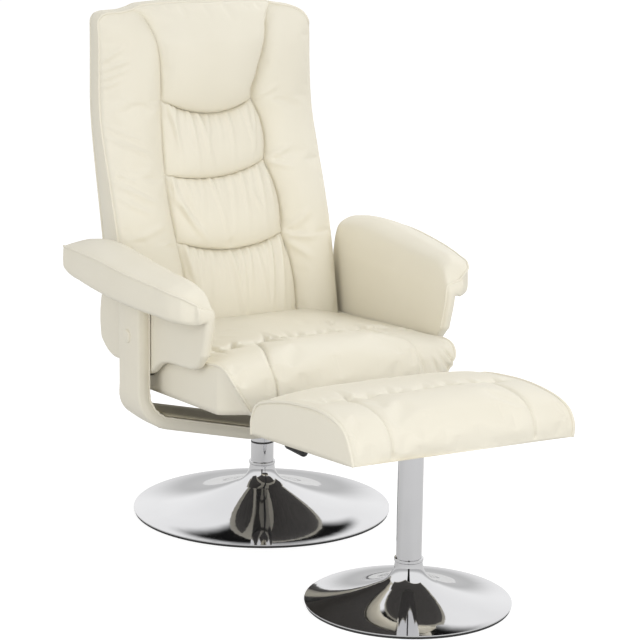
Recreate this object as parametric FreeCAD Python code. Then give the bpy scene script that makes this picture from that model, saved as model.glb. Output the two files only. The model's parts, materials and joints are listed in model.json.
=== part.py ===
import FreeCAD, Part
import math
import os

V = FreeCAD.Vector

# fits
soft_gap = 0.15       # air on each side of a seam between soft pieces
run = 0.05            # running clearance of a shaft, on the radius
fit = 0.1             # clearance round a fixed bolt
over = 5.0            # overrun of every cutting tool

# widths: the seat drives the arms, the cradle, the frames and the back
seat_half = 258.0
arm_clear = 4.0       # air between seat and arms
arm_board_t = 20.0    # padded arm board
post_skin = 28.0      # post outside the arm board
arm_overhang = 116.0  # roll beyond the arm's inner face
frame_margin = 12.0   # frames inside the cushion's side
back_margin = 6.0     # back narrower than the seat
arm_in = seat_half + arm_clear
arm_board_out = arm_in + arm_board_t
cradle_half = arm_board_out + post_skin
arm_roll_out = arm_in + arm_overhang
frame_half = seat_half - frame_margin
back_half = seat_half - back_margin

# heights: the seat's lower edge drives the pivot, the arms and the back's foot
cradle_low = 174.0    # underside of the cradle at the middle
seat_low_rear = 292.0
seat_rise = 17.0      # lower edge, rear to front
seat_h_rear = 62.0
seat_h_front = 101.0
pivot_rise = 43.0
arm_above_pivot = 15.0
arm_rise = 38.0       # board's lower edge, rear to front
ledge_rise = 7.0
cap_rise = 57.0
arm_board_h = 142.0   # board up to the roll
post_under_roll = 22.0
back_foot_rise = 38.0
back_straight = 488.0
back_head = 200.0
pillow_over = 24.0    # pillow above the bolsters
seat_low_front = seat_low_rear + seat_rise
seat_top_rear = seat_low_rear + seat_h_rear
seat_top_front = seat_low_front + seat_h_front
pivot_z = seat_low_rear + pivot_rise
arm_low_rear = pivot_z + arm_above_pivot
arm_low_front = arm_low_rear + arm_rise
post_ledge = arm_low_rear + ledge_rise     # the posts are thinner above this, where the arms lie
cap_z = arm_low_rear + cap_rise
arm_neck = arm_low_rear + arm_board_h      # underside of the roll
cradle_top = arm_neck - post_under_roll
core_top = cradle_top
back_low_z = seat_low_rear + back_foot_rise
back_bend_z = back_low_z + back_straight
back_top_z = back_bend_z + back_head
pillow_top = back_top_z + pillow_over

# depths: the seat's rear and front drive the arms, the frame and the back
seat_rear = 146.0
seat_front = -340.0
front_inset = 55.0    # arms and frame behind the seat's front
arm_behind = 26.0
frame_behind = 18.0
back_behind = 4.0
back_lean = 118.0     # top of the back behind its foot
arm_front = seat_front + front_inset
arm_rear = seat_rear + arm_behind
frame_front = seat_front + front_inset
frame_rear = seat_rear - frame_behind
back_low_y = seat_rear + back_behind
back_top_y = back_low_y + back_lean

# pedestals
chair_base_r = 270.0
stool_base_r = 194.5
chair_neck_z = 99.0
stool_neck_z = 83.0
rim_z = 7.0           # top of the rim above the floor
sheet = 2.0           # spun sheet
throat_turn = 66.0    # degrees turned by the tight throat arc
rim_turn = 87.5       # degrees turned where the sheet meets the rim
column_r = 24.0
column_wall = 3.0
neck_r = column_r + sheet + fit
foot_w = 16.0
foot_inset = 2.0
foot_clear = 1.0      # mat under the ground plate
collar_w = 3.5
collar_h = 7.0
column_below = 28.0   # column under the cradle
chair_column_top = cradle_low - column_below
stool_column_top = 296.0
bush_len = 70.0
bush_flange = 4.0
spindle_r = 14.0
hub_r = column_r      # the boss above a column is as wide as the column
hub_h = 8.0
stool_x = -30.0
stool_y = -641.0

# cradle
cradle_thick = 27.0
cradle_slope = 13.2   # degrees, bottom legs of the U
cradle_flat = 60.0    # half length of the level middle
cradle_bend = 74.0
cradle_ease = 160.0
post_y = -5.0
post_w = 96.0
band_w = 140.0
flare_rise = 126.0    # the band reaches the posts' width this far up
flare_start = 41.0
flare_top = cradle_low + flare_rise
flare_low = cradle_low + flare_start
strap_in = 3.0        # leather and wadding over the strap
strap_thick = 8.0
strap_w = 56.0
plate_bolt_r = 4.0
plate_bolt_share = 0.5     # bolts from the axis, as a share of the boss

# arms
shoulder_rise = 36.0  # inner face straight up to here
crest_rise = 92.0
edge_rise = 70.0      # piped outer edge
roll_rise = 8.0
arm_crest_in = 46.0   # crest from the inner face
arm_shoulder = arm_neck + shoulder_rise
arm_crest = arm_neck + crest_rise
arm_edge_z = arm_neck + edge_rise
arm_roll_low = arm_neck + roll_rise
arm_fall = 26.0       # the crest falls this much to the front
arm_nose = 58.0       # side radius of the roll's front
arm_tip = 100.0       # plan radius of the roll's front outer corner
arm_heel = 48.0       # side radius of the board's lower rear corner
arm_edge = 6.0
crest_mid_share = 0.5
core_thick = 10.0
core_inset = 30.0
cap_r = 14.0
cap_h = 6.0
cap_round_share = 0.7
arm_bolt_r = 4.0
arm_bolt_pitch = 42.0

# recline pivot
pivot_y = -5.0
pivot_r = 10.0
bush_wall = 3.0
bush_lip = 3.0
spacer_wall = 5.0

# tension knob
knob_drop = 6.0
knob_z = cradle_low - knob_drop
rod_r = 5.0
rod_grip = 36.0
knob_front = -186.0
knob_len = 72.0
knob_r = 9.0
knob_round_share = 0.7
knob_flutes = 10
knob_flute_r = 1.2

# seat
seat_crown = 30.0
seat_draw = 12.0      # sides drawn in at the seams
seat_edge = 14.0
seat_nose = 55.0
seat_tilt = 3.0       # degrees
frame_w = 24.0
frame_h = 56.0
frame_skin = 6.0      # frame above the cushion's lower edge
web_w = 55.0
web_t = 2.5
web_count = 5
liner_t = 1.5
bracket_t = 5.0
bracket_w = 44.0
bracket_rise = 150.0

# cushion crowns
station_shares = (0.3, 0.55, 0.75, 0.88, 0.96, 1.0)
crown_power = 3
draw_power = 10

# back
back_thick = 49.0
back_corner = 55.0
board_t = 15.0
board_inset = 22.0
seam_half = 120.0
pillow_straight = 68.0     # the pillow widens above this
flare_z = back_bend_z + pillow_straight
flare_wide = 65.0
flare_power = 2.6
seam_rises = (208.0, 358.0)     # the two middle seams above the back's foot
panel_foot = 40.0     # panels above the seat's rear edge
seam_z = (seat_top_rear + panel_foot, back_low_z + seam_rises[0], back_low_z + seam_rises[1], back_bend_z)
panel_crown = 36.0
pillow_crown = 50.0
bolster_crown = 46.0
bolster_wall = 26.0   # side wall of a bolster at its foot
panel_wall = 8.0
bolster_back = 3.0    # wadding between board and bolsters
panel_back = 0.3
taper = 4.0           # the back is this much narrower at its top
bolster_gap = 1.2
# up, fullness
panel_shares = ((0, 0.15), (0.12, 0.62), (0.5, 1.0), (0.88, 0.62), (1.0, 0.15))
# up, fullness, slimming of the sides
pillow_shares = ((0, 0.15, 0), (0.1, 0.6, 0), (0.3, 0.9, 0), (0.5, 1.0, 0), (0.7, 0.95, 0), (0.85, 0.8, 0),
                 (0.96, 0.42, 1.0), (1.0, 0.1, 5.0))
# up, fullness, side wall, slimming of the outside
bolster_shares = ((0, 0.25, 1.0, 0), (0.06, 0.8, 1.0, 0), (0.35, 1.0, 0.8, 0), (0.55, 0.95, 0.35, 0),
                  (0.75, 0.85, 0.2, 0), (0.87, 0.8, 0.2, 0.3), (0.94, 0.7, 0.2, 1.0), (0.98, 0.4, 0.2, 4.0),
                  (1.0, 0.1, 0.2, 8.0))

# stool pad
pad_half_x = 238.0
pad_half_y = 187.0
pad_rise = 31.0
pad_low = stool_column_top + pad_rise
pad_side_h = 84.0
pad_crown = 22.0
pad_draw = 10.0
pad_tilt = 5.3        # degrees, higher at the front
pad_nose = 46.0
pad_edge = 14.0
pad_board_t = 15.0
pad_board_inset = 30.0
stool_plate = 150.0
stool_plate_t = 5.0
screw_r = 3.0
screw_len = 14.0
screw_share = 0.4


def cyl(r, h, base, axis=V(0, 0, 1)):
    return Part.makeCylinder(r, h, base, axis)


def block(x0, x1, y0, y1, z0, z1):
    return Part.makeBox(x1 - x0, y1 - y0, z1 - z0, V(x0, y0, z0))


def mirrored(shape):
    return shape.mirror(V(0, 0, 0), V(1, 0, 0))


def tilted(shape, base, degrees):
    turned = shape.copy()
    turned.rotate(base, V(1, 0, 0), degrees)
    return turned


def rounded(points, radii, closed):
    """Edges of a path of straight lines with a tangent arc at each corner."""
    count = len(points)
    cuts = []
    for i in range(count):
        p = points[i]
        r = radii[i]
        if r == 0 or (not closed and i in (0, count - 1)):
            cuts.append((p, None, p))
            continue
        a = (points[i - 1] - p).normalize()
        b = (points[(i + 1) % count] - p).normalize()
        half = a.getAngle(b) / 2
        reach = r / math.tan(half)
        middle = (a + b).normalize()
        crest = p + middle * (r / math.sin(half) - r)
        cuts.append((p + a * reach, crest, p + b * reach))
    edges = []
    for i in range(count):
        start, crest, end = cuts[i]
        if crest is not None:
            edges.append(Part.Arc(start, crest, end).toShape())
        if closed or i < count - 1:
            nxt = cuts[(i + 1) % count][0]
            if end.distanceToPoint(nxt) > run:
                edges.append(Part.LineSegment(end, nxt).toShape())
    return edges


def loop(points, radii):
    return Part.Wire(rounded(points, radii, True))


def prism(points, radii, travel):
    return Part.Face(loop(points, radii)).extrude(travel)


def aside(points, d):
    """The same path moved sideways by d, corners kept sharp."""
    lines = []
    for a, b in zip(points[:-1], points[1:]):
        along = (b - a).normalize()
        side = V(-along.z, along.y, along.x) * d
        lines.append((a + side, along))
    moved = [lines[0][0]]
    for (p, u), (q, w) in zip(lines[:-1], lines[1:]):
        cross = u.x * w.z - u.z * w.x
        t = ((q.x - p.x) * w.z - (q.z - p.z) * w.x) / cross
        moved.append(p + u * t)
    last = (points[-1] - points[-2]).normalize()
    moved.append(points[-1] + V(-last.z, last.y, last.x) * d)
    return moved


def spin(edges, x=0, y=0):
    face = Part.Face(Part.Wire(edges))
    return face.revolve(V(0, 0, 0), V(0, 0, 1), 360).translate(V(x, y, 0))


def line(a, b):
    return Part.LineSegment(a, b).toShape()


def arc(a, b, c):
    return Part.Arc(a, b, c).toShape()


# trumpet base: a tight throat arc and a wide sweep arc, solved to meet tangent and land on the rim
def trumpet(rim_r, neck_z):
    a = math.radians(throat_turn)
    b = math.radians(rim_turn)
    wide = rim_r - neck_r
    high = neck_z - rim_z
    k1 = 1 - math.cos(a)
    k2 = math.cos(a) - math.cos(b)
    k3 = math.sin(a)
    k4 = math.sin(b) - math.sin(a)
    det = k1 * k4 - k2 * k3
    throat = (wide * k4 - k2 * high) / det
    sweep = (k1 * high - wide * k3) / det
    c1 = V(neck_r + throat, 0, neck_z)
    c2 = c1 + V(-math.cos(a), 0, -math.sin(a)) * (throat - sweep)

    def at(c, r, t):
        return c + V(-math.cos(t), 0, -math.sin(t)) * r
    mid = (a + b) / 2
    t_in = throat + sheet
    s_in = sweep + sheet
    edges = [arc(at(c1, throat, 0), at(c1, throat, a / 2), at(c1, throat, a)),
             arc(at(c2, sweep, a), at(c2, sweep, mid), at(c2, sweep, b)),
             line(at(c2, sweep, b), at(c2, s_in, b)),
             arc(at(c2, s_in, b), at(c2, s_in, mid), at(c2, s_in, a)),
             arc(at(c1, t_in, a), at(c1, t_in, a / 2), at(c1, t_in, 0)),
             line(at(c1, t_in, 0), at(c1, throat, 0))]
    return edges


def base_dish(rim_r, neck_z, x, y):
    return spin(trumpet(rim_r, neck_z), x, y)


def foot_mat(rim_r, x, y):
    """Rubber mat under the ground plate, with a raised rim round it."""
    r = rim_r - foot_inset
    h = rim_z - sheet - fit
    return cyl(r, h, V(x, y, 0)).cut(cyl(r - foot_w, h, V(x, y, foot_clear)))


def ground_plate(rim_r, x, y):
    r = rim_r - foot_inset - foot_w
    return cyl(r, rim_z - sheet - foot_clear, V(x, y, foot_clear))


def column(top, x, y):
    low = rim_z - sheet
    tube = cyl(column_r, top - low, V(x, y, low))
    return tube.cut(cyl(column_r - column_wall, top - low, V(x, y, low)))


def collar(neck_z, x, y):
    r = column_r + collar_w
    corners = [V(column_r + fit, 0, neck_z), V(r, 0, neck_z), V(r, 0, neck_z + collar_h),
               V(column_r + fit, 0, neck_z + collar_h)]
    return spin(rounded(corners, (0, collar_w / 2, collar_w / 2, 0), True), x, y)


def bush(top, x, y):
    inner = column_r - column_wall
    body = cyl(inner, bush_len, V(x, y, top - bush_len))
    body = body.fuse(cyl(column_r, bush_flange, V(x, y, top)))
    hole = bush_len + bush_flange + over
    return body.cut(cyl(spindle_r + run, hole, V(x, y, top - bush_len))).removeSplitter()


def spindle(top, x, y):
    seat = top + bush_flange + run
    pin = cyl(spindle_r, bush_len, V(x, y, seat - bush_len))
    return pin.fuse(cyl(hub_r, hub_h, V(x, y, seat))).removeSplitter()


# cradle
def cradle_path():
    leg = cradle_half - cradle_flat
    corner_z = cradle_low + leg * math.tan(math.radians(cradle_slope))
    right = [V(cradle_flat, 0, cradle_low), V(cradle_half, 0, corner_z), V(cradle_half, 0, cradle_top)]
    left = [V(-p.x, 0, p.z) for p in reversed(right)]
    return left + right


def band(d0, d1, y0, y1):
    """U-shaped strip between two offsets from the outer face."""
    outer = aside(cradle_path(), d0)
    inner = aside(cradle_path(), d1)
    ro = [0, cradle_bend - d0, cradle_ease + d0, cradle_ease + d0, cradle_bend - d0, 0]
    ri = [0, cradle_bend - d1, cradle_ease + d1, cradle_ease + d1, cradle_bend - d1, 0]
    edges = rounded(outer, ro, False) + [line(outer[-1], inner[-1])]
    edges += [e for e in reversed(rounded(inner, ri, False))] + [line(inner[0], outer[0])]
    wire = Part.Wire(Part.__sortEdges__(edges))
    return Part.Face(wire).extrude(V(0, y1 - y0, 0)).translate(V(0, y0, 0))


def cradle_side():
    """The band's outline from the side: wide under the seat, narrow at the posts."""
    half = post_w / 2
    wide = band_w / 2
    x = -cradle_half - over
    pts = [V(x, -wide, 0), V(x, wide, 0), V(x, wide, flare_low), V(x, post_y + half, flare_top),
           V(x, post_y + half, cradle_top + over), V(x, post_y - half, cradle_top + over),
           V(x, post_y - half, flare_top), V(x, -wide, flare_low)]
    r = cradle_bend
    return prism(pts, (0, 0, r, r, 0, 0, r, r), V(2 * (cradle_half + over), 0, 0))


def strap():
    return band(strap_in, strap_in + strap_thick, post_y - strap_w / 2, post_y + strap_w / 2)


def strap_holes(shape):
    """Holes through the strap, ending under the leather on the outside."""
    for s in (-1, 1):
        x = s * (cradle_half - strap_in)
        shape = shape.cut(cyl(pivot_r + bush_wall, cradle_thick + over, V(x, pivot_y, pivot_z), V(-s, 0, 0)))
        for z in (cap_z, cap_z + arm_bolt_pitch):
            shape = shape.cut(cyl(arm_bolt_r + fit, cradle_thick, V(x, post_y, z), V(-s, 0, 0)))
    for x, y in plate_holes():
        shape = shape.cut(cyl(plate_bolt_r + fit, cradle_thick + over, V(x, y, cradle_low)))
    return shape


def plate_holes():
    d = hub_r * plate_bolt_share
    return [(sx * d, sy * d) for sx in (-1, 1) for sy in (-1, 1)]


def cradle_cover():
    cover = band(0, cradle_thick, -band_w / 2, band_w / 2).common(cradle_side())
    cover = cover.cut(strap())
    for s in (-1, 1):
        x0, x1 = sorted((s * arm_board_out, s * (arm_in - over)))
        cover = cover.cut(block(x0, x1, -band_w, band_w, post_ledge, cradle_top + over))
        lip = cyl(pivot_r + bush_wall + bush_lip, cradle_thick, V(s * lip_x(), pivot_y, pivot_z), V(-s, 0, 0))
        cover = cover.cut(lip)
    for x, y in plate_holes():
        cover = cover.cut(cyl(bolt_head(), cradle_thick, V(x, y, cradle_low + strap_in + strap_thick)))
    return strap_holes(cover)


def lip_x():
    return cradle_half - strap_in - strap_thick


def bolt_head():
    return 2 * plate_bolt_r


def pivot_bush():
    outer = pivot_r + bush_wall
    body = cyl(outer, strap_thick, V(lip_x(), pivot_y, pivot_z), V(1, 0, 0))
    body = body.fuse(cyl(outer + bush_lip, bush_lip, V(lip_x(), pivot_y, pivot_z), V(-1, 0, 0)))
    hole = cyl(pivot_r + run, cradle_thick, V(lip_x() - bush_lip, pivot_y, pivot_z), V(1, 0, 0))
    return body.cut(hole).removeSplitter()


def pivot_bolt():
    inside = frame_half - frame_w + fit
    outside = cradle_half - strap_in
    pin = cyl(pivot_r, outside - inside, V(inside, pivot_y, pivot_z), V(1, 0, 0))
    return pin


def pivot_spacer():
    x0 = frame_half + fit
    x1 = lip_x() - bush_lip - run
    ring = cyl(pivot_r + spacer_wall, x1 - x0, V(x0, pivot_y, pivot_z), V(1, 0, 0))
    return ring.cut(cyl(pivot_r + run, x1 - x0, V(x0, pivot_y, pivot_z), V(1, 0, 0)))


def top_plate():
    z0 = chair_column_top + bush_flange + run + hub_h
    plate = cyl(hub_r, cradle_low - z0, V(0, 0, z0))
    plate = plate.cut(cyl(rod_r + run, rod_grip + over, V(0, -hub_r - over, knob_z), V(0, 1, 0)))
    for x, y in plate_holes():
        plate = plate.cut(cyl(plate_bolt_r + fit, cradle_low, V(x, y, 0)))
    return plate


def plate_bolts():
    z0 = chair_column_top + bush_flange + run + hub_h
    z1 = cradle_low + strap_in + strap_thick
    bolts = []
    for x, y in plate_holes():
        bolt = cyl(plate_bolt_r, z1 - z0, V(x, y, z0))
        bolts.append(bolt.fuse(cyl(bolt_head() - fit, plate_bolt_r, V(x, y, z1))))
    return Part.makeCompound(bolts)


# arms
def arm_panel():
    """Upholstered board under the roll, reaching up into it."""
    pts = [V(arm_in, arm_front, arm_low_front), V(arm_in, arm_front, arm_shoulder),
           V(arm_in, arm_rear, arm_shoulder), V(arm_in, arm_rear, arm_low_rear)]
    return prism(pts, (core_inset, 0, 0, arm_heel), V(arm_board_t, 0, 0))


def quarter(a, b):
    """Point halfway along a round corner that leaves a upright and reaches b level."""
    lean = math.cos(math.radians(45))
    return V(a.x + (b.x - a.x) * (1 - lean), a.y, a.z + (b.z - a.z) * lean)


def arm_roll():
    """Rolled top: up the inner face, over the crest, down to the piped edge, round at the front."""
    y = arm_front
    p_low = V(arm_in, y, arm_neck)
    p_in = V(arm_in, y, arm_shoulder)
    p_crest = V(arm_in + arm_crest_in, y, arm_crest)
    p_edge = V(arm_roll_out, y, arm_edge_z)
    p_under = V(arm_roll_out, y, arm_roll_low)
    fall = (p_crest + p_edge) * crest_mid_share + V(0, 0, arm_edge)
    bulge = V(arm_roll_out + arm_edge, y, (arm_edge_z + arm_roll_low) / 2)
    face = Part.Face(Part.Wire([line(p_low, p_in), arc(p_in, quarter(p_in, p_crest), p_crest),
                                arc(p_crest, fall, p_edge), arc(p_edge, bulge, p_under), line(p_under, p_low)]))
    roll = face.extrude(V(0, arm_rear - arm_front, 0))
    far = arm_roll_out + 2 * arm_edge
    plan = [V(arm_in, arm_front, 0), V(far, arm_front, 0), V(far, arm_rear, 0), V(arm_in, arm_rear, 0)]
    roll = roll.common(prism(plan, (arm_edge, arm_tip, arm_tip / 2, arm_edge), V(0, 0, arm_crest + over)))
    side = [V(arm_in - over, arm_front, 0), V(arm_in - over, arm_front, arm_crest - arm_fall),
            V(arm_in - over, arm_rear, arm_crest + arm_edge), V(arm_in - over, arm_rear, 0)]
    return roll.common(prism(side, (0, arm_nose, arm_nose / 2, 0), V(far, 0, 0)))


def arm_core():
    x0 = (arm_in + arm_board_out - core_thick) / 2
    pts = [V(x0, arm_front + core_inset, arm_low_front + core_inset), V(x0, arm_front + core_inset, core_top),
           V(x0, arm_rear - core_inset, core_top), V(x0, arm_rear - core_inset, arm_low_rear + core_inset)]
    core = prism(pts, (0, 0, 0, 0), V(core_thick, 0, 0))
    return arm_bolt_holes(core)


def arm_bolt_holes(shape):
    for z in (cap_z, cap_z + arm_bolt_pitch):
        x0 = (arm_in + arm_board_out - core_thick) / 2
        shape = shape.cut(cyl(arm_bolt_r + fit, cradle_half, V(x0, post_y, z), V(1, 0, 0)))
    return shape


def arm_pad():
    pad = arm_panel().fuse(arm_roll()).removeSplitter()
    return arm_bolt_holes(pad.cut(arm_core()))


def arm_bolts():
    x0 = (arm_in + arm_board_out - core_thick) / 2
    x1 = cradle_half - strap_in
    bolts = [cyl(arm_bolt_r, x1 - x0, V(x0, post_y, z), V(1, 0, 0)) for z in (cap_z, cap_z + arm_bolt_pitch)]
    return Part.makeCompound(bolts)


def arm_cap():
    cap = cyl(cap_r, cap_h, V(cradle_half, post_y, cap_z), V(1, 0, 0))
    outer = [e for e in cap.Edges if e.CenterOfMass.x > cradle_half + cap_h / 2 and e.Length > 2 * cap_r * math.pi - fit]
    return cap.makeFillet(cap_h * cap_round_share, outer)


# tension knob
def tension_rod():
    y0 = knob_front + knob_len / 2
    y1 = rod_grip - hub_r
    return cyl(rod_r, y1 - y0, V(0, y0, knob_z), V(0, 1, 0))


def tension_knob():
    """Slim ribbed handle with a rounded end."""
    knob = cyl(knob_r, knob_len, V(0, knob_front, knob_z), V(0, 1, 0))
    end = [e for e in knob.Edges if e.CenterOfMass.y < knob_front + run]
    knob = knob.makeFillet(knob_r * knob_round_share, end)
    for i in range(knob_flutes):
        a = 2 * math.pi * i / knob_flutes
        at = V(knob_r * math.cos(a), knob_front, knob_z + knob_r * math.sin(a))
        knob = knob.cut(cyl(knob_flute_r, knob_len, at, V(0, 1, 0)))
    return knob.cut(tension_rod())


# seat
def seat_section(x, crown, draw):
    f = seat_front + draw
    r = seat_rear - draw
    pts = [V(x, r, seat_low_rear + draw), V(x, r, seat_top_rear + crown - draw),
           V(x, f, seat_top_front + crown - draw), V(x, f, seat_low_front + draw)]
    return loop(pts, (seat_edge, seat_edge, seat_nose, seat_edge))


def seat_pivot():
    return V(0, pivot_y, pivot_z)


def seat_frame():
    z0 = seat_low_rear + frame_skin
    ring = block(-frame_half, frame_half, frame_front, frame_rear, z0, z0 + frame_h)
    w = frame_half - frame_w
    ring = ring.cut(block(-w, w, frame_front + frame_w, frame_rear - frame_w, z0 - over, z0 + frame_h + over))
    ring = tilted(ring, seat_pivot(), -seat_tilt)
    for s in (-1, 1):
        at = V(s * (frame_half + over), pivot_y, pivot_z)
        ring = ring.cut(cyl(pivot_r, frame_w + 2 * over, at, V(-s, 0, 0)))
    return ring


def seat_webbing():
    z0 = seat_low_rear + frame_skin + frame_h
    straps = []
    pitch = (frame_rear - frame_front - frame_w) / web_count
    for i in range(web_count):
        y = frame_front + frame_w / 2 + pitch * (i + 1 / 2)
        straps.append(block(-frame_half, frame_half, y - web_w / 2, y + web_w / 2, z0, z0 + web_t))
    return tilted(Part.makeCompound(straps), seat_pivot(), -seat_tilt)


def seat_liner():
    z0 = seat_low_rear + frame_skin
    sheet_cloth = block(-frame_half, frame_half, frame_front, frame_rear, z0 - liner_t, z0)
    return tilted(sheet_cloth, seat_pivot(), -seat_tilt)


def seat_recess():
    z0 = seat_low_rear
    half = frame_half + fit
    hole = block(-half, half, frame_front - fit, frame_rear + fit, z0 - frame_h, z0 + frame_skin + frame_h + web_t)
    return tilted(hole, seat_pivot(), -seat_tilt)


def crowned(share):
    """Height share of a cushion's crown at a share of its half width."""
    return 1 - share ** crown_power


def drawn(share):
    return share ** draw_power


def stations():
    return [-share for share in reversed(station_shares)] + [0] + list(station_shares)


def seat_cushion():
    wires = []
    for at in stations():
        share = abs(at)
        wires.append(seat_section(seat_half * at, seat_crown * crowned(share), seat_draw * drawn(share)))
    cushion = Part.makeLoft(wires, True, False)
    cushion = cushion.cut(seat_recess())
    for s in (-1, 1):
        at = V(s * (seat_half + over), pivot_y, pivot_z)
        cushion = cushion.cut(cyl(pivot_r + spacer_wall + soft_gap, seat_half - frame_half + 2 * over, at, V(-s, 0, 0)))
    for b in (back_bracket(), mirrored(back_bracket())):
        cushion = cushion.cut(b)
    return cushion


# back
def back_datum(z):
    t = (z - back_low_z) / (back_bend_z - back_low_z)
    return back_low_y + (back_top_y - back_low_y) * min(t, 1)


def back_strip(d0, d1, z0, z1, half):
    pts = []
    for z in (z0, back_bend_z, z1):
        pts.append(V(-half, back_datum(z) + d0, z))
    for z in (z1, back_bend_z, z0):
        pts.append(V(-half, back_datum(z) + d1, z))
    return prism(pts, (0, 0, 0, 0, 0, 0), V(2 * half, 0, 0))


def back_front(half, z0, z1, corner):
    y = back_low_y - 2 * bracket_rise
    pts = [V(-half, y, z0), V(half, y, z0), V(half - taper, y, z1), V(taper - half, y, z1)]
    return prism(pts, (0, 0, corner, corner), V(0, 4 * bracket_rise, 0))


def back_board():
    z0 = back_low_z + board_inset
    z1 = back_top_z - board_inset
    board = back_strip(0, board_t, z0, z1, frame_half)
    return board.common(back_front(frame_half, z0, z1, back_corner - board_inset))


def back_pad():
    pad = back_strip(0, back_thick, back_low_z, back_top_z, back_half)
    pad = pad.common(back_front(back_half, back_low_z, back_top_z, back_corner))
    pad = pad.cut(back_board())
    for b in (back_bracket(), mirrored(back_bracket())):
        pad = pad.cut(b)
    return pad


def back_bracket():
    x = frame_half
    z0 = seat_low_rear + frame_skin + frame_h / 2
    y1 = back_datum(z0 + bracket_rise) + board_t / 2
    w = bracket_w / 2
    y0 = frame_rear - frame_w * 3
    pts = [V(x, y0, z0 - w / 2), V(x, frame_rear, z0 - w / 2), V(x, y1 + w, z0 + bracket_rise),
           V(x, y1 - w / 2, z0 + bracket_rise), V(x, frame_rear - w, z0 + w / 2), V(x, y0, z0 + w / 2)]
    return prism(pts, (w / 4, w, w / 4, w / 4, w, w / 4), V(bracket_t, 0, 0))


def seam_x(z):
    """Half width of the middle panels; the head pillow widens towards its top."""
    up = max(z - flare_z, 0) / (pillow_top - flare_z)
    return seam_half + flare_wide * up ** flare_power


def puff(rest, rows):
    """Cushion lofted upward: flat back, short side walls, crowned front."""
    wires = []
    for z, x0, x1, wall0, wall1, crown in rows:
        back = back_datum(z) - rest
        a = V(x0, back, z)
        b = V(x1, back, z)
        c = V(x1, back - wall1, z)
        d = V(x0, back - wall0, z)
        crest = V((x0 + x1) / 2, back - (wall0 + wall1) / 2 - crown, z)
        wires.append(Part.Wire([line(a, b), line(b, c), arc(c, crest, d), line(d, a)]))
    return Part.makeLoft(wires, True, False)


def back_panel(z0, z1, crown):
    half = seam_half - soft_gap
    high = z1 - z0 - 2 * soft_gap
    rows = []
    for up, full in panel_shares:
        rows.append((z0 + soft_gap + high * up, -half, half, panel_wall, panel_wall, crown * full))
    return puff(panel_back, rows)


def head_pillow():
    z0 = seam_z[3] + soft_gap
    high = pillow_top - z0
    rows = []
    for up, full, slim in pillow_shares:
        z = z0 + high * up
        half = seam_x(z) - soft_gap - taper * slim
        rows.append((z, -half, half, panel_wall, panel_wall, pillow_crown * full))
    return puff(panel_back, rows)


def bolster():
    z0 = seam_z[0]
    high = back_top_z - z0
    rows = []
    for up, full, wall, slim in bolster_shares:
        z = z0 + high * up
        inside = seam_x(z) + bolster_gap
        outside = back_half - taper * slim
        rows.append((z, inside, outside, panel_wall, panel_wall + bolster_wall * wall, bolster_crown * full))
    return puff(bolster_back, rows).cut(back_bracket())


# stool
def pad_base():
    return V(stool_x, stool_y, pad_low)


def pad_section(share, crown, draw):
    x = stool_x + pad_half_x * share
    f = stool_y - pad_half_y + draw
    r = stool_y + pad_half_y - draw
    top = pad_low + pad_side_h + crown - draw
    low = pad_low + draw
    pts = [V(x, r, low), V(x, r, top), V(x, f, top), V(x, f, low)]
    return loop(pts, (pad_edge, pad_nose, pad_nose, pad_edge))


def stool_board():
    x = pad_half_x - pad_board_inset
    y = pad_half_y - pad_board_inset
    board = block(stool_x - x, stool_x + x, stool_y - y, stool_y + y, pad_low, pad_low + pad_board_t)
    for sx, sy in screw_spots():
        board = board.cut(cyl(screw_r, screw_len, V(sx, sy, pad_low)))
    return tilted(board, pad_base(), -pad_tilt)


def screw_spots():
    d = stool_plate * screw_share
    return [(stool_x + sx * d, stool_y + sy * d) for sx in (-1, 1) for sy in (-1, 1)]


def stool_cushion():
    wires = []
    for at in stations():
        share = abs(at)
        wires.append(pad_section(at, pad_crown * crowned(share), pad_draw * drawn(share)))
    cushion = tilted(Part.makeLoft(wires, True, False), pad_base(), -pad_tilt)
    x = pad_half_x - pad_board_inset + fit
    y = pad_half_y - pad_board_inset + fit
    hole = block(stool_x - x, stool_x + x, stool_y - y, stool_y + y, pad_low - pad_side_h, pad_low + pad_board_t)
    return cushion.cut(tilted(hole, pad_base(), -pad_tilt))


def stool_top_plate():
    half = stool_plate / 2
    z0 = pad_low - stool_plate_t
    plate = block(stool_x - half, stool_x + half, stool_y - half, stool_y + half, z0, pad_low)
    for sx, sy in screw_spots():
        plate = plate.cut(cyl(screw_r, 2 * stool_plate_t, V(sx, sy, z0)))
    plate = tilted(plate, pad_base(), -pad_tilt)
    seat = stool_column_top + bush_flange + run + hub_h
    boss = cyl(hub_r, pad_low - seat, V(stool_x, stool_y, seat))
    cut = block(stool_x - half, stool_x + half, stool_y - half, stool_y + half, z0, pad_low + pad_side_h)
    return plate.fuse(boss.cut(tilted(cut, pad_base(), -pad_tilt))).removeSplitter()


def stool_screws():
    screws = []
    for sx, sy in screw_spots():
        z0 = pad_low - stool_plate_t
        screw = cyl(screw_r, screw_len - over, V(sx, sy, z0))
        screws.append(screw.fuse(cyl(2 * screw_r, screw_r, V(sx, sy, z0 - screw_r))))
    return tilted(Part.makeCompound(screws), pad_base(), -pad_tilt)


def pedestal(name, rim_r, neck_z, top, x, y):
    return {name + "_base": base_dish(rim_r, neck_z, x, y),
            name + "_ground_plate": ground_plate(rim_r, x, y),
            name + "_foot_mat": foot_mat(rim_r, x, y),
            name + "_column": column(top, x, y),
            name + "_collar": collar(neck_z, x, y),
            name + "_bush": bush(top, x, y),
            name + "_spindle": spindle(top, x, y)}


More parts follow.
